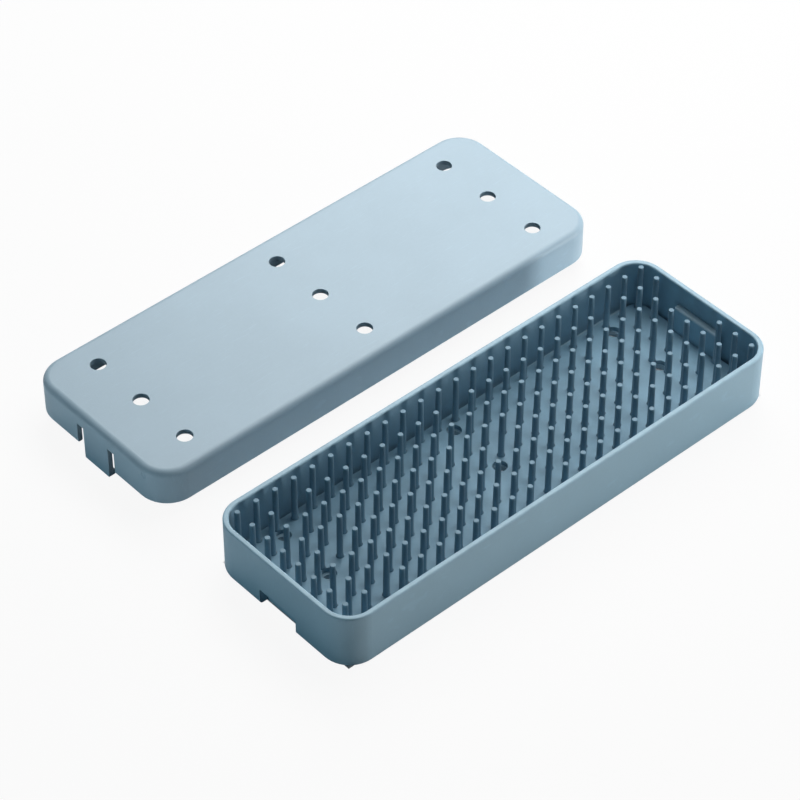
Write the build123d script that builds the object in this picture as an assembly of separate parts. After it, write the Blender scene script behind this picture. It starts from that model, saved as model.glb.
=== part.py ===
from build123d import *
from math import atan, degrees
import os

# A sterilising tray for small surgical instruments: an open base, a silicone mat
# with upstanding fingers that lies loose in it, and a lid that clips on at both ends.
# Origin: centre of the base's underside. X runs along the tray, Y towards the lid, Z up.

# Base
base_length = 160.0
base_width = 55.2
base_height = 18.2
base_wall = 1.7
base_floor = 1.6
base_corner_radius = 8.8
foot_round = 1.2
rim_round = 0.5
base_hole_diameter = 5.0
base_hole_pitch_x = 61.75
base_hole_pitch_y = 18.9

# Latch recess, low in each end wall, and the boss that closes it on the inside
recess_width = 14.6
recess_height = 5.6
recess_depth = 2.7
recess_back_wall = 1.2
boss_cheek = 1.0
boss_height = 11.6
boss_round = 0.6

# Finger mat: where its sheet ends, how it lies, and its fingers
mat_thickness = 1.5
mat_wall_gap = 1.7
mat_corner_radius = 4.0
mat_boss_gap = 0.3
mat_hole_diameter = 4.3
mat_turn = -0.6
mat_shift_x = 0.8
mat_shift_y = 0.6
finger_pitch_x = 6.5
finger_pitch_y = 6.3
finger_edge_margin = 1.8
finger_foot_diameter = 1.9
finger_tip_diameter = 1.6
finger_sides = 8
finger_above_rim = 0.2

# Fingers left out for drainage: the first column and row, and the steps to the next
bare_first_column = 2
bare_column_step = 9
bare_first_row = 1
bare_row_step = 3

# Lid
lid_fit_gap = 0.3
lid_wall = 1.5
lid_top = 1.6
lid_skirt_height = 11.7
lid_corner_ease = 1.0
lid_top_round = 2.0
lid_hem_chamfer = 0.25
lid_hole_diameter = 4.8
lid_hole_pitch_x = 65.4
lid_hole_pitch_y = 19.2

# Shallow dimple in the lid's left end
dimple_width = 2.4
dimple_depth = 0.5
dimple_from_centre = 21.6
dimple_below_top = 2.8

# Latch tongues of the lid, each between two relief slots
tongue_width = 10.8
tongue_reach = 3.8
slot_width = 2.8
slot_below_top = 4.5
barb_height = 1.1
barb_depth = 1.1
barb_land = 0.4
tongue_tip_round = 0.4

# Where the lid stands on its tongues, off the base
lid_place_x = 1.4
lid_place_y = 76.8

# Worked out from the above
base_inside_length = base_length - 2 * base_wall
base_inside_width = base_width - 2 * base_wall
boss_depth = recess_depth + recess_back_wall - base_wall
boss_width = recess_width + 2 * boss_cheek
boss_face_x = base_inside_length / 2 - boss_depth
mat_length = base_inside_length - 2 * mat_wall_gap
mat_width = base_inside_width - 2 * mat_wall_gap
mat_top = base_floor + mat_thickness
finger_columns = int((mat_length - 2 * finger_edge_margin) // finger_pitch_x) + 1
finger_rows = int((mat_width - 2 * finger_edge_margin) // finger_pitch_y) + 1
finger_height = base_height + finger_above_rim - mat_top
lid_inside_length = base_length + 2 * lid_fit_gap
lid_inside_width = base_width + 2 * lid_fit_gap
lid_inside_radius = base_corner_radius - lid_corner_ease
lid_length = lid_inside_length + 2 * lid_wall
lid_width = lid_inside_width + 2 * lid_wall
lid_corner_radius = lid_inside_radius + lid_wall
lid_height = lid_skirt_height + tongue_reach
lid_under_top = lid_height - lid_top
slot_top = lid_height - slot_below_top
lid_place = Location((lid_place_x, lid_place_y, 0))
mat_place = Location((mat_shift_x, mat_shift_y, 0), (0, 0, mat_turn))

FROM_BELOW = (Align.CENTER, Align.CENTER, Align.MIN)


def rounded_block(length, width, height, radius, bottom):
    """An upright block with round corners, from the height bottom up."""
    outline = RectangleRounded(length, width, radius)
    return extrude(Pos(0, 0, bottom) * outline, height)


def end_block(length, width, height, x, bottom):
    """A plain block at one end of the tray, centred on Y."""
    return Pos(x, 0, bottom) * Box(length, width, height, align=FROM_BELOW)


def bottom_edges(solid):
    return solid.edges().group_by(Axis.Z)[0]


def top_edges(solid):
    return solid.edges().group_by(Axis.Z)[-1]


def hole_grid(diameter, pitch_x, pitch_y, bottom, depth):
    """The cutters of the steam holes, three by three."""
    hole = Pos(0, 0, bottom) * Cylinder(diameter / 2, depth, align=FROM_BELOW)
    return [place * hole for place in GridLocations(pitch_x, pitch_y, 3, 3)]


def make_boss(side):
    """The block behind a latch recess, rooted in the floor and halfway into the end wall."""
    length = boss_depth + base_wall / 2
    boss = end_block(length, boss_width, boss_height - base_floor / 2, boss_face_x + length / 2, base_floor / 2)
    front = boss.faces().sort_by(Axis.X)[0]
    top = boss.faces().sort_by(Axis.Z)[-1]
    upright = front.edges().filter_by(Axis.Z)
    boss = fillet(upright + top.edges().sort_by(Axis.X)[0:1], boss_round)
    return boss if side > 0 else Rot(0, 0, 180) * boss


def make_base():
    outside = rounded_block(base_length, base_width, base_height, base_corner_radius, 0)
    outside = fillet(bottom_edges(outside), foot_round)
    inside_radius = base_corner_radius - base_wall
    inside = rounded_block(base_inside_length, base_inside_width, base_height, inside_radius, base_floor)
    base = fillet(top_edges(outside - inside), rim_round)
    for side in (-1, 1):
        recess_x = side * (base_length - recess_depth) / 2
        base += make_boss(side)
        base -= end_block(recess_depth, recess_width, recess_height, recess_x, 0)
    return base - hole_grid(base_hole_diameter, base_hole_pitch_x, base_hole_pitch_y, 0, base_floor)


def make_mat_sheet():
    """The mat's sheet, as it lies in the base, cut clear of the bosses."""
    sheet = rounded_block(mat_length, mat_width, mat_thickness, mat_corner_radius, base_floor)
    sheet -= hole_grid(mat_hole_diameter, base_hole_pitch_x, base_hole_pitch_y, base_floor, mat_thickness)
    sheet = mat_place * sheet
    for side in (-1, 1):
        length = boss_depth + mat_boss_gap
        middle = side * (boss_face_x - mat_boss_gap + length / 2)
        sheet -= end_block(length, boss_width + 2 * mat_boss_gap, mat_thickness, middle, base_floor)
    return sheet


def is_bare(column, row):
    """Whether the finger of this column and row is left out to let water drain."""
    in_column = (column - bare_first_column) % bare_column_step == 0
    in_row = (row - bare_first_row) % bare_row_step == 0
    return in_column and in_row


def meets_hole(x, y):
    """Whether a finger's foot, in the mat's own frame, would reach over a drain hole."""
    reach = (mat_hole_diameter + finger_foot_diameter) / 2
    holes = GridLocations(base_hole_pitch_x, base_hole_pitch_y, 3, 3)
    return any((Vector(x, y) - hole.position).length < reach for hole in holes)


def meets_boss(place):
    """Whether a finger's foot would reach past the sheet's edge at a boss."""
    foot = mat_boss_gap + finger_foot_diameter / 2
    past_face = abs(place.position.X) > boss_face_x - foot
    beside_boss = abs(place.position.Y) < boss_width / 2 + foot
    return past_face and beside_boss


def make_finger():
    """One tapered finger with flat sides, two of them square to the rows."""
    foot = RegularPolygon(finger_foot_diameter / 2, finger_sides, major_radius=False)
    foot = Rot(0, 0, 180 / finger_sides) * foot
    taper = degrees(atan((finger_foot_diameter - finger_tip_diameter) / 2 / finger_height))
    return extrude(foot, finger_height, taper=taper)


def make_fingers():
    """The fingers that stand on the sheet, counted from the left end and the far side."""
    finger = make_finger()
    fingers = []
    for column in range(finger_columns):
        for row in range(finger_rows):
            x = (column - (finger_columns - 1) / 2) * finger_pitch_x
            y = ((finger_rows - 1) / 2 - row) * finger_pitch_y
            place = mat_place * Pos(x, y, mat_top)
            if not (is_bare(column, row) or meets_hole(x, y) or meets_boss(place)):
                fingers.append(place * finger)
    return Compound(children=fingers)


def make_lid():
    outside = rounded_block(lid_length, lid_width, lid_skirt_height, lid_corner_radius, tongue_reach)
    outside = fillet(top_edges(outside), lid_top_round)
    inside_height = lid_under_top - tongue_reach
    inside = rounded_block(lid_inside_length, lid_inside_width, inside_height, lid_inside_radius, tongue_reach)
    lid = chamfer(bottom_edges(outside - inside), lid_hem_chamfer)
    for side in (-1, 1):
        wall_x = side * (lid_length - lid_wall) / 2
        opening = tongue_width + 2 * slot_width
        lid -= end_block(lid_wall, opening, slot_top - tongue_reach, wall_x, tongue_reach)
    lid -= hole_grid(lid_hole_diameter, lid_hole_pitch_x, lid_hole_pitch_y, lid_under_top, lid_top)
    return lid - make_dimple()


def make_dimple():
    """The cutter of the dimple: a ball that dips into the left end."""
    radius = (dimple_width**2 / 4 + dimple_depth**2) / (2 * dimple_depth)
    x = -lid_length / 2 + dimple_depth - radius
    return Pos(x, -dimple_from_centre, lid_height - dimple_below_top) * Sphere(radius)


def make_tongue(side):
    """A latch tongue: a strip of the end wall with a barb inside its tip."""
    outer = lid_length / 2
    inner = outer - lid_wall
    nose = inner - barb_depth
    barb_foot = barb_height - barb_land
    outline = Polyline(
        (outer, 0),
        (outer, slot_top),
        (inner, slot_top),
        (inner, barb_height),
        (nose, barb_height),
        (nose, barb_foot),
        (inner, 0),
        close=True,
    )
    tongue = extrude(make_face(Plane.XZ * outline), tongue_width / 2, both=True)
    tip_corners = tongue.edges().filter_by(Axis.X).group_by(Axis.Z)[0]
    tongue = fillet(tip_corners, tongue_tip_round)
    return tongue if side > 0 else Rot(0, 0, 180) * tongue


parts = {
    "tray_base": make_base(),
    "mat_sheet": make_mat_sheet(),
    "mat_fingers": make_fingers(),
    "lid": lid_place * make_lid(),
    "lid_latch_left": lid_place * make_tongue(-1),
    "lid_latch_right": lid_place * make_tongue(1),
}

os.makedirs("parts", exist_ok=True)
for name, shape in parts.items():
    export_step(shape, f"parts/{name}.step")
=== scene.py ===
from math import pi, radians

import bmesh
import bpy
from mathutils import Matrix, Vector


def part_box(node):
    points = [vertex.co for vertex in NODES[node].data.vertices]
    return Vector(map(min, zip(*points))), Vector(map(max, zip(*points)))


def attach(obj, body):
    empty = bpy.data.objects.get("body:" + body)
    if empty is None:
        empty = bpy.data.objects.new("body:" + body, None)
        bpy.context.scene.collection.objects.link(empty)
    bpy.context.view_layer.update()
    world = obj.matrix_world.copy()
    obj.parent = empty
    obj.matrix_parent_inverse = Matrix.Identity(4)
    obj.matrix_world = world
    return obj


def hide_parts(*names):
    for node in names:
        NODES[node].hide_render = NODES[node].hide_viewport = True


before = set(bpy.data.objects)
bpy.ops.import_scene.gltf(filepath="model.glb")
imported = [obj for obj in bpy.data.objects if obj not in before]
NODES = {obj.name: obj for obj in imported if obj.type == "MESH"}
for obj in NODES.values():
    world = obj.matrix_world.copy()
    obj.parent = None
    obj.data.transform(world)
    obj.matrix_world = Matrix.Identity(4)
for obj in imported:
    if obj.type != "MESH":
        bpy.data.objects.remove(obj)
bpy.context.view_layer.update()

bl_info = {
    "name": "Instrument tray looks",
    "version": (1, 0, 0),
    "blender": (4, 5, 0),
    "location": "3D View > Sidebar > Tray",
    "description": "Plastic, silicone fingers and stage of a sterilising tray for instruments",
    "category": "Object",
}

MM = 0.001

# Mould textures, in waves per metre, and how far they change the roughness
PLASTIC_GRAIN = 2600.0
SILICONE_GRAIN = 1700.0
COARSE_GRAIN = 420.0
GLOSS_CHANGE = 0.06

# Clouds, specks, and patches of rubbing and of painted tip highlight, in waves per metre
CLOUDS = 38.0
SPECKS = 900.0
WEAR_AND_HIGHLIGHT_PATCHES = 260.0

# Hair scratches: turn in radians and waves per metre across, for each direction
SCRATCHES = ((0.35, 2600.0), (-0.9, 3100.0))
SCRATCH_ALONG = 150.0
SCRATCH_UPWARD = 300.0

# Shades of a finish's own colour, in its clouds, and where it is paler at one height: rubbing on
# the plastic, a painted highlight on the fingers' tips
CLOUD_SHADE = 0.88
WEAR_AND_HIGHLIGHT_SHADE = 1.4

# Soft boxes of the studio: place and width in metres, and tint
WHITE = (1.0, 1.0, 1.0)
LAMPS = {
    "Overhead lamp": ((0.22, 0.05, 0.43), 0.34, WHITE),
    "Back lamp": ((0.36, 0.44, 0.44), 0.36, WHITE),
    "Low front lamp": ((0.40, -0.35, 0.05), 0.10, WHITE),
    "Left lamp": ((-0.50, 0.08, 0.05), 0.10, (0.5, 0.84, 1.0)),
}
LAMP_AIM = Vector((0.0, 0.04, 0.0))

# White paper under the tray, and how much of its white the camera sees unshaded
FLOOR_HALF_WIDTH = 1.5
FLOOR_DROP = 0.02 * MM
PAPER = (0.86, 0.86, 0.86, 1.0)
PAPER_GLOW = 0.92

# Part of the base's half length and half width under which the paper stays dark
UNDER_BASE = {"X": 0.97, "Y": 0.93}

# Reading the fingers: points closer than this are one, and a foot is this thick
MERGE_DISTANCE = 0.001 * MM
FOOT_LAYER = 0.01 * MM

# Upward part of the normal from which a finger's face counts as level
LEVEL = 0.99


# Shader nodes, in short form


def link(tree, socket, value):
    """Feeds a socket from another socket, or sets it to a value."""
    if isinstance(value, bpy.types.NodeSocket):
        tree.links.new(value, socket)
    else:
        socket.default_value = value


def maths(tree, operation, *values):
    node = tree.nodes.new("ShaderNodeMath")
    node.operation = operation
    for socket, value in zip(node.inputs, values):
        link(tree, socket, value)
    return node.outputs["Value"]


def spread(tree, value, low, high, to_low=0.0, to_high=1.0):
    """Maps a value from one range to another, held at both ends."""
    node = tree.nodes.new("ShaderNodeMapRange")
    limits = {"From Min": low, "From Max": high, "To Min": to_low, "To Max": to_high}
    for label, setting in {"Value": value, **limits}.items():
        link(tree, node.inputs[label], setting)
    return node.outputs["Result"]


def noise(tree, place, scale, detail=2.0):
    node = tree.nodes.new("ShaderNodeTexNoise")
    for label, setting in (("Vector", place), ("Scale", scale), ("Detail", detail)):
        link(tree, node.inputs[label], setting)
    return node.outputs["Fac"]


def blended(tree, factor, first, second):
    """The colour that lies between two colours."""
    node = tree.nodes.new("ShaderNodeMix")
    node.data_type = "RGBA"
    link(tree, node.inputs["Factor"], factor)
    ends = [socket for socket in node.inputs if socket.type == "RGBA"]
    for socket, colour in zip(ends, (first, second)):
        link(tree, socket, colour)
    return next(socket for socket in node.outputs if socket.type == "RGBA")


def object_place(tree):
    return tree.nodes.new("ShaderNodeTexCoord").outputs["Object"]


def place_split(tree):
    """The X, Y and Z of the shaded point."""
    split = tree.nodes.new("ShaderNodeSeparateXYZ")
    link(tree, split.inputs["Vector"], object_place(tree))
    return split.outputs


def new_group(name, inputs, outputs):
    """An empty shader group with named sockets, and its two ends."""
    group = bpy.data.node_groups.new(name, "ShaderNodeTree")
    for side, sockets in (("INPUT", inputs), ("OUTPUT", outputs)):
        for label, kind in sockets.items():
            group.interface.new_socket(label, in_out=side, socket_type=f"NodeSocket{kind}")
    start = group.nodes.new("NodeGroupInput")
    end = group.nodes.new("NodeGroupOutput")
    return group, start.outputs, end.inputs


def new_material(name):
    """A material with nothing but a Principled surface."""
    material = bpy.data.materials.new(name)
    material.use_nodes = True
    tree = material.node_tree
    tree.nodes.clear()
    surface = tree.nodes.new("ShaderNodeBsdfPrincipled")
    output = tree.nodes.new("ShaderNodeOutputMaterial")
    link(tree, output.inputs["Surface"], surface.outputs["BSDF"])
    return material, tree, surface


# Effects that the finishes share


def build_grain(name):
    """Fine texture that the mould leaves: a height, and where the surface is duller."""
    group, start, end = new_group(
        name, {"Grain per metre": "Float"}, {"Height": "Float", "Dullness": "Float"}
    )
    place = object_place(group)
    fine = noise(group, place, start["Grain per metre"], 3.0)
    coarse = noise(group, place, COARSE_GRAIN)
    link(group, end["Height"], maths(group, "MULTIPLY_ADD", coarse, 0.35, fine))
    link(group, end["Dullness"], spread(group, fine, 0.3, 0.7, -1.0, 1.0))
    return group


def build_mottle(name):
    """Cloudy changes of tone, as pigment and flow leave in a moulding."""
    group, start, end = new_group(
        name, {"Colour": "Color", "Cloud colour": "Color", "Amount": "Float"}, {"Colour": "Color"}
    )
    place = object_place(group)
    clouds = spread(group, noise(group, place, CLOUDS, 3.0), 0.35, 0.65)
    specks = spread(group, noise(group, place, SPECKS), 0.42, 0.7)
    both = maths(group, "MULTIPLY_ADD", specks, 0.3, clouds)
    factor = maths(group, "MULTIPLY", both, start["Amount"])
    link(group, end["Colour"], blended(group, factor, start["Colour"], start["Cloud colour"]))
    return group


def build_scuffs(name):
    """Hair scratches in two directions, from sliding on shelves."""
    group, start, end = new_group(name, {"Amount": "Float"}, {"Mask": "Float"})
    lines = []
    for turn, across in SCRATCHES:
        mapping = group.nodes.new("ShaderNodeMapping")
        mapping.inputs["Rotation"].default_value = (0.0, 0.0, turn)
        mapping.inputs["Scale"].default_value = (SCRATCH_ALONG, across, SCRATCH_UPWARD)
        link(group, mapping.inputs["Vector"], object_place(group))
        lines.append(spread(group, noise(group, mapping.outputs["Vector"], 1.0), 0.66, 0.72))
    mask = maths(group, "MULTIPLY", maths(group, "MAXIMUM", *lines), start["Amount"])
    link(group, end["Mask"], mask)
    return group


def build_wear_and_highlight(name):
    """Uneven paler mask near an edge that lies level at a given height: rubbing on the plastic, a
    painted highlight on the fingers' tips.
    """
    group, start, end = new_group(
        name, {"Edge height": "Float", "Reach": "Float", "Amount": "Float"}, {"Mask": "Float"}
    )
    offset = maths(group, "SUBTRACT", place_split(group)["Z"], start["Edge height"])
    away = maths(group, "DIVIDE", maths(group, "ABSOLUTE", offset), start["Reach"])
    near = maths(group, "MAXIMUM", maths(group, "SUBTRACT", 1.0, away), 0.0)
    patches = noise(group, object_place(group), WEAR_AND_HIGHLIGHT_PATCHES, 3.0)
    uneven = spread(group, patches, 0.3, 0.62, 0.35, 1.0)
    mask = maths(group, "MULTIPLY", maths(group, "MULTIPLY", near, uneven), start["Amount"])
    link(group, end["Mask"], mask)
    return group


EFFECTS = {
    "Mould grain": build_grain,
    "Pigment mottle": build_mottle,
    "Hair scuffs": build_scuffs,
    "Rubbing and tip highlight": build_wear_and_highlight,
}


def effect(tree, name, **settings):
    """Places a shared effect in a material, with its own values."""
    node = tree.nodes.new("ShaderNodeGroup")
    node.node_tree = bpy.data.node_groups.get(name) or EFFECTS[name](name)
    for label, value in settings.items():
        link(tree, node.inputs[label.replace("_", " ")], value)
    return node.outputs


# Finishes


def opaque(colour, shade=1.0):
    return (*(min(1.0, channel * shade) for channel in colour), 1.0)


def moulded_finish(name, colour, settings, grain, wear_and_highlight_height, scuffs=0.0):
    """A moulded surface: cloudy colour, grained gloss and relief, paler at one height: rubbing on
    the plastic, a painted highlight on the fingers' tips, paler patches on the sheet's top.
    """
    material, tree, surface = new_material(name)
    cloudy = effect(
        tree,
        "Pigment mottle",
        Colour=opaque(colour),
        Cloud_colour=opaque(colour, CLOUD_SHADE),
        Amount=settings.mottle,
    )
    wear_and_highlight_mask = effect(
        tree, "Rubbing and tip highlight", Edge_height=wear_and_highlight_height, Reach=settings.wear_and_highlight_reach, Amount=settings.wear_and_highlight_amount
    )["Mask"]
    if scuffs:
        marks = effect(tree, "Hair scuffs", Amount=scuffs)
        wear_and_highlight_mask = maths(tree, "MAXIMUM", wear_and_highlight_mask, marks["Mask"])
    # Paler where the mask falls: rubbing on the plastic, a painted highlight on the fingers' tips
    worn_and_highlight_colour = blended(tree, wear_and_highlight_mask, cloudy["Colour"], opaque(colour, WEAR_AND_HIGHLIGHT_SHADE))
    link(tree, surface.inputs["Base Color"], worn_and_highlight_colour)

    texture = effect(tree, "Mould grain", Grain_per_metre=grain)
    roughness = maths(tree, "MULTIPLY_ADD", texture["Dullness"], GLOSS_CHANGE, settings.roughness)
    link(tree, surface.inputs["Roughness"], roughness)
    bump = tree.nodes.new("ShaderNodeBump")
    bump.inputs["Distance"].default_value = settings.grain_depth
    link(tree, bump.inputs["Height"], texture["Height"])
    link(tree, surface.inputs["Normal"], bump.outputs["Normal"])
    return material, surface


def satin_plastic(name, colour, settings, wear_and_highlight_height):
    """Moulded plastic under a thin gloss, with hair scuffs."""
    material, surface = moulded_finish(
        name, colour, settings, PLASTIC_GRAIN, wear_and_highlight_height, settings.scuffs
    )
    surface.inputs["Coat Weight"].default_value = 0.05
    surface.inputs["Coat Roughness"].default_value = 0.3
    return material


def soft_silicone(name, colour, settings, wear_and_highlight_height):
    """Matt silicone with a faint dusty sheen, paler at one height: a painted highlight on the
    fingers' tips, paler patches on the sheet's top.
    """
    material, surface = moulded_finish(name, colour, settings, SILICONE_GRAIN, wear_and_highlight_height)
    surface.inputs["Sheen Weight"].default_value = 0.12
    surface.inputs["Sheen Roughness"].default_value = 0.6
    return material


def white_paper():
    """White paper that keeps a faint shadow, and stays dark where the base stands on it."""
    material, tree, surface = new_material("White paper")
    surface.inputs["Base Color"].default_value = PAPER
    surface.inputs["Roughness"].default_value = 0.9
    place = place_split(tree)
    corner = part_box("tray_base")[1]
    outside = [
        maths(tree, "GREATER_THAN", maths(tree, "ABSOLUTE", place[axis]), share * half)
        for (axis, share), half in zip(UNDER_BASE.items(), corner)
    ]
    open_paper = maths(tree, "MAXIMUM", *outside)
    seen = tree.nodes.new("ShaderNodeLightPath").outputs["Is Camera Ray"]
    shown = maths(tree, "MULTIPLY", maths(tree, "MULTIPLY", seen, open_paper), PAPER_GLOW)
    glow = tree.nodes.new("ShaderNodeEmission")
    mix = tree.nodes.new("ShaderNodeMixShader")
    feeds = (shown, surface.outputs["BSDF"], glow.outputs["Emission"])
    for socket, value in zip(mix.inputs, feeds):
        link(tree, socket, value)
    output = next(node for node in tree.nodes if node.type == "OUTPUT_MATERIAL")
    link(tree, output.inputs["Surface"], mix.outputs["Shader"])
    return material


def give(material, *node_names):
    """Puts a material in every slot of some CAD nodes."""
    for name in node_names:
        for slot in NODES[name].material_slots:
            slot.material = material


# Fingers


def face_height(face):
    return face.calc_center_median().z


def finger_places(node):
    """The middle of each finger's foot, read off the CAD fingers that the round ones replace."""
    mesh = bmesh.new()
    mesh.from_mesh(node.data)
    bmesh.ops.remove_doubles(mesh, verts=mesh.verts, dist=MERGE_DISTANCE)
    bottom = min(vertex.co.z for vertex in mesh.verts) + FOOT_LAYER
    feet = {vertex for vertex in mesh.verts if vertex.co.z < bottom}
    places = []
    while feet:
        ring, waiting = [], [feet.pop()]
        while waiting:
            vertex = waiting.pop()
            ring.append(vertex.co.copy())
            for edge in vertex.link_edges:
                other = edge.other_vert(vertex)
                if other in feet:
                    feet.remove(other)
                    waiting.append(other)
        places.append(sum(ring, Vector()) / len(ring))
    mesh.free()
    return places


def finger_mesh(settings, height):
    """One round finger: a tapered shaft with an eased tip and a flared root."""
    flare = settings.root_flare
    finger = bmesh.new()
    bmesh.ops.create_cone(
        finger,
        cap_ends=True,
        segments=settings.finger_sides,
        radius1=settings.foot_diameter / 2,
        radius2=settings.tip_diameter / 2,
        depth=height - flare,
    )
    bmesh.ops.translate(finger, verts=finger.verts, vec=(0.0, 0.0, (height + flare) / 2))
    tip = max(finger.faces, key=face_height)
    bmesh.ops.bevel(
        finger,
        geom=list(tip.edges),
        offset=settings.tip_easing,
        segments=2,
        profile=0.5,
        affect="EDGES",
        material=-1,
    )
    foot = min(finger.faces, key=face_height)
    root = bmesh.ops.extrude_discrete_faces(finger, faces=[foot])["faces"][0]
    wider = 1 + 2 * flare / settings.foot_diameter
    bmesh.ops.translate(finger, verts=root.verts, vec=(0.0, 0.0, -flare))
    bmesh.ops.scale(finger, verts=root.verts, vec=(wider, wider, 1.0))
    bmesh.ops.recalc_face_normals(finger, faces=finger.faces)
    for face in finger.faces:
        face.smooth = abs(face.normal.z) < LEVEL
    mesh = bpy.data.meshes.new("one_finger")
    finger.to_mesh(mesh)
    finger.free()
    return mesh


# Settings that a user would change


class PlasticSettings(bpy.types.PropertyGroup):
    # Lighter copy of the base's plastic: painted light on the lid's top
    lid_colour_painted_lighter: bpy.props.FloatVectorProperty(
        name="Lid colour",
        description="Pale blue-grey of the lid",
        subtype="COLOR",
        default=(0.43, 0.585, 0.69),
    )
    base_colour: bpy.props.FloatVectorProperty(
        name="Base colour",
        description="Blue-grey of the base",
        subtype="COLOR",
        default=(0.32, 0.5, 0.61),
    )
    roughness: bpy.props.FloatProperty(
        name="Roughness",
        description="Roughness of the satin plastic",
        subtype="FACTOR",
        default=0.48,
    )
    grain_depth: bpy.props.FloatProperty(
        name="Grain depth",
        description="Depth of the mould's texture",
        unit="LENGTH",
        default=0.02 * MM,
    )
    mottle: bpy.props.FloatProperty(
        name="Mottle", description="Strength of the cloudy tones", subtype="FACTOR", default=0.35
    )
    scuffs: bpy.props.FloatProperty(
        name="Scuffs", description="Strength of the hair scratches", subtype="FACTOR", default=0.12
    )
    # On the plastic this paler band is rubbing only, at the rim and at the tongues' feet
    wear_and_highlight_amount: bpy.props.FloatProperty(
        name="Wear",
        description="Strength of the rubbed rim and tips",
        subtype="FACTOR",
        default=0.6,
    )
    wear_and_highlight_reach: bpy.props.FloatProperty(
        name="Wear reach",
        description="How far the rubbing reaches",
        unit="LENGTH",
        default=0.6 * MM,
    )


class SiliconeSettings(bpy.types.PropertyGroup):
    sheet_colour: bpy.props.FloatVectorProperty(
        name="Sheet colour",
        description="Colour of the mat's sheet",
        subtype="COLOR",
        default=(0.21, 0.38, 0.49),
    )
    # Darker copy of the sheet's silicone: painted shade on the fingers' shafts
    finger_colour_painted_darker: bpy.props.FloatVectorProperty(
        name="Finger colour",
        description="Colour of the fingers",
        subtype="COLOR",
        default=(0.17, 0.31, 0.41),
    )
    roughness: bpy.props.FloatProperty(
        name="Roughness", description="Roughness of the silicone", subtype="FACTOR", default=0.56
    )
    grain_depth: bpy.props.FloatProperty(
        name="Grain depth",
        description="Depth of the mould's texture",
        unit="LENGTH",
        default=0.012 * MM,
    )
    mottle: bpy.props.FloatProperty(
        name="Mottle", description="Strength of the cloudy tones", subtype="FACTOR", default=0.4
    )
    # Paler at one height: a painted highlight on the fingers' tips, paler patches on the sheet's
    # top; the reach below sets how far both go
    wear_and_highlight_amount: bpy.props.FloatProperty(
        name="Wear", description="Strength of the dusting on top", subtype="FACTOR", default=0.4
    )
    wear_and_highlight_reach: bpy.props.FloatProperty(
        name="Wear reach",
        description="How far the dusting reaches",
        unit="LENGTH",
        default=0.5 * MM,
    )
    finger_sides: bpy.props.IntProperty(
        name="Finger sides", description="Facets round a finger", default=12
    )
    foot_diameter: bpy.props.FloatProperty(
        name="Foot diameter",
        description="Width of a finger above its root",
        unit="LENGTH",
        default=1.9 * MM,
    )
    tip_diameter: bpy.props.FloatProperty(
        name="Tip diameter",
        description="Width of a finger at its tip",
        unit="LENGTH",
        default=1.6 * MM,
    )
    tip_easing: bpy.props.FloatProperty(
        name="Tip easing",
        description="Rounding of the tip's edge",
        unit="LENGTH",
        default=0.14 * MM,
    )
    root_flare: bpy.props.FloatProperty(
        name="Root flare",
        description="Height and reach of the fillet at the sheet",
        unit="LENGTH",
        default=0.25 * MM,
    )


class StageSettings(bpy.types.PropertyGroup):
    eye: bpy.props.FloatVectorProperty(
        name="Eye",
        description="Place of the camera",
        subtype="TRANSLATION",
        unit="LENGTH",
        default=(-0.43575, -0.44594, 0.62104),
    )
    azimuth: bpy.props.FloatProperty(
        name="Azimuth",
        description="Turn of the camera about the upright",
        subtype="ANGLE",
        default=radians(-41.82),
    )
    elevation: bpy.props.FloatProperty(
        name="Elevation",
        description="Angle of the camera above the table",
        subtype="ANGLE",
        default=radians(43.54),
    )
    lens: bpy.props.FloatProperty(
        name="Lens", description="Focal length", unit="CAMERA", default=143.3
    )
    overhead: bpy.props.FloatProperty(
        name="Overhead lamp", description="Soft box high on the right", unit="POWER", default=1.36
    )
    back: bpy.props.FloatProperty(
        name="Back lamp", description="Soft box behind on the right", unit="POWER", default=2.5
    )
    front: bpy.props.FloatProperty(
        name="Low front lamp", description="Low soft box in front", unit="POWER", default=1.2
    )
    left: bpy.props.FloatProperty(
        name="Left lamp", description="Weak cool soft box on the left", unit="POWER", default=0.3
    )
    ambient: bpy.props.FloatProperty(
        name="Ambient", description="Strength of the light all round", default=0.02
    )


# Operators


class TRAY_OT_plastic(bpy.types.Operator):
    """Give the base, the lid and its latch tongues their satin plastic"""

    bl_idname = "tray.plastic"
    bl_label = "Plastic base and lid"

    def execute(self, context):
        settings = context.scene.tray_plastic
        rim_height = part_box("tray_base")[1][2]
        base_plastic = satin_plastic("Base plastic", settings.base_colour, settings, rim_height)
        give(base_plastic, "tray_base")
        tongue_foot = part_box("lid_latch_left")[0][2]
        # The lid takes a lighter copy of the base's plastic, as painted light on its top
        lid_plastic_painted_lighter = satin_plastic("Lid plastic painted lighter", settings.lid_colour_painted_lighter, settings, tongue_foot)
        give(lid_plastic_painted_lighter, "lid", "lid_latch_left", "lid_latch_right")
        return {"FINISHED"}


class TRAY_OT_mat_sheet(bpy.types.Operator):
    """Give the mat's sheet its matt silicone"""

    bl_idname = "tray.mat_sheet"
    bl_label = "Mat sheet"

    def execute(self, context):
        settings = context.scene.tray_silicone
        sheet_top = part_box("mat_sheet")[1][2]
        silicone = soft_silicone("Sheet silicone", settings.sheet_colour, settings, sheet_top)
        give(silicone, "mat_sheet")
        return {"FINISHED"}


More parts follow.
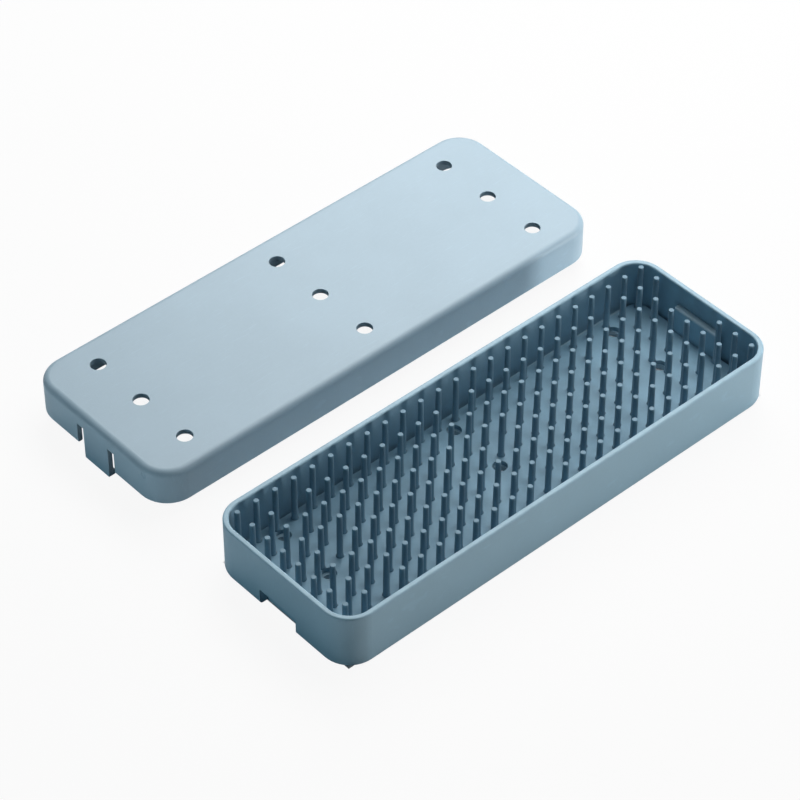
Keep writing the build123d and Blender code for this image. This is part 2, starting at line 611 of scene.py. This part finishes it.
class TRAY_OT_mat_fingers(bpy.types.Operator):
    """Stand round silicone fingers where the plain ones of the frame are"""

    bl_idname = "tray.mat_fingers"
    bl_label = "Mat fingers"

    def execute(self, context):
        settings = context.scene.tray_silicone
        foot, tip = (corner[2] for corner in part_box("mat_fingers"))
        places = finger_places(NODES["mat_fingers"])
        if not places:
            raise RuntimeError("mat_fingers has no feet to stand round fingers on")
        one = finger_mesh(settings, tip - foot)
        field = bmesh.new()
        for place in places:
            count = len(field.verts)
            field.from_mesh(one)
            bmesh.ops.translate(field, verts=list(field.verts)[count:], vec=place)
        mesh = bpy.data.meshes.new("silicone_fingers")
        field.to_mesh(mesh)
        field.free()
        bpy.data.meshes.remove(one)
        # A darker copy of the sheet's silicone as painted shade on the shafts, paler at the tip
        # height as a painted highlight
        silicone = soft_silicone("Finger silicone painted darker", settings.finger_colour_painted_darker, settings, tip)
        mesh.materials.append(silicone)
        fingers = bpy.data.objects.new("silicone_fingers", mesh)
        context.scene.collection.objects.link(fingers)
        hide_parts("mat_fingers")
        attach(fingers, "mat")
        return {"FINISHED"}


class TRAY_OT_stage(bpy.types.Operator):
    """Set up the white paper, the studio lamps and the camera"""

    bl_idname = "tray.stage"
    bl_label = "Stage and camera"

    def execute(self, context):
        settings = context.scene.tray_stage
        scene = context.scene
        scene.view_settings.view_transform = "Standard"
        self.place_camera(scene, settings)
        self.lay_floor(scene)
        self.hang_lamps(scene, settings)
        self.light_world(scene, settings)
        return {"FINISHED"}

    def place_camera(self, scene, settings):
        data = bpy.data.cameras.new("Photo camera")
        data.lens = settings.lens
        data.sensor_width = 36.0
        data.clip_start = 0.01
        camera = bpy.data.objects.new("Photo camera", data)
        camera.location = settings.eye
        camera.rotation_euler = (pi / 2 - settings.elevation, 0.0, settings.azimuth)
        scene.collection.objects.link(camera)
        scene.camera = camera

    def lay_floor(self, scene):
        sheet = bmesh.new()
        bmesh.ops.create_grid(sheet, x_segments=1, y_segments=1, size=FLOOR_HALF_WIDTH)
        bmesh.ops.translate(sheet, verts=sheet.verts, vec=(0.0, 0.0, -FLOOR_DROP))
        mesh = bpy.data.meshes.new("Floor")
        sheet.to_mesh(mesh)
        sheet.free()
        mesh.materials.append(white_paper())
        floor = bpy.data.objects.new("Floor", mesh)
        scene.collection.objects.link(floor)

    def hang_lamps(self, scene, settings):
        powers = (settings.overhead, settings.back, settings.front, settings.left)
        for (name, (place, width, tint)), power in zip(LAMPS.items(), powers):
            data = bpy.data.lights.new(name, "AREA")
            data.size = width
            data.color = tint
            data.energy = power
            lamp = bpy.data.objects.new(name, data)
            lamp.location = place
            lamp.rotation_euler = (Vector(place) - LAMP_AIM).to_track_quat("Z", "Y").to_euler()
            scene.collection.objects.link(lamp)

    def light_world(self, scene, settings):
        world = bpy.data.worlds.new("Studio")
        world.use_nodes = True
        tree = world.node_tree
        tree.nodes.clear()
        mix = tree.nodes.new("ShaderNodeMixShader")
        seen = tree.nodes.new("ShaderNodeLightPath").outputs["Is Camera Ray"]
        link(tree, mix.inputs["Fac"], seen)
        for socket, strength in zip(mix.inputs[1:], (settings.ambient, 1.0)):
            light = tree.nodes.new("ShaderNodeBackground")
            light.inputs["Color"].default_value = opaque(WHITE)
            light.inputs["Strength"].default_value = strength
            link(tree, socket, light.outputs["Background"])
        output = tree.nodes.new("ShaderNodeOutputWorld")
        link(tree, output.inputs["Surface"], mix.outputs["Shader"])
        scene.world = world


class TRAY_PT_panel(bpy.types.Panel):
    bl_idname = "TRAY_PT_panel"
    bl_label = "Instrument tray"
    bl_space_type = "VIEW_3D"
    bl_region_type = "UI"
    bl_category = "Tray"

    def draw(self, context):
        for operator in OPERATORS:
            self.layout.operator(operator.bl_idname)


SETTINGS = {
    "tray_plastic": PlasticSettings,
    "tray_silicone": SiliconeSettings,
    "tray_stage": StageSettings,
}
OPERATORS = (TRAY_OT_plastic, TRAY_OT_mat_sheet, TRAY_OT_mat_fingers, TRAY_OT_stage)
CLASSES = (*SETTINGS.values(), *OPERATORS, TRAY_PT_panel)


def register():
    for cls in CLASSES:
        bpy.utils.register_class(cls)
    for name, group in SETTINGS.items():
        setattr(bpy.types.Scene, name, bpy.props.PointerProperty(type=group))


def unregister():
    for name in SETTINGS:
        delattr(bpy.types.Scene, name)
    for cls in reversed(CLASSES):
        bpy.utils.unregister_class(cls)


def main():
    register()
    bpy.ops.tray.plastic()
    bpy.ops.tray.mat_sheet()
    bpy.ops.tray.mat_fingers()
    bpy.ops.tray.stage()


if __name__ == "__main__":
    main()
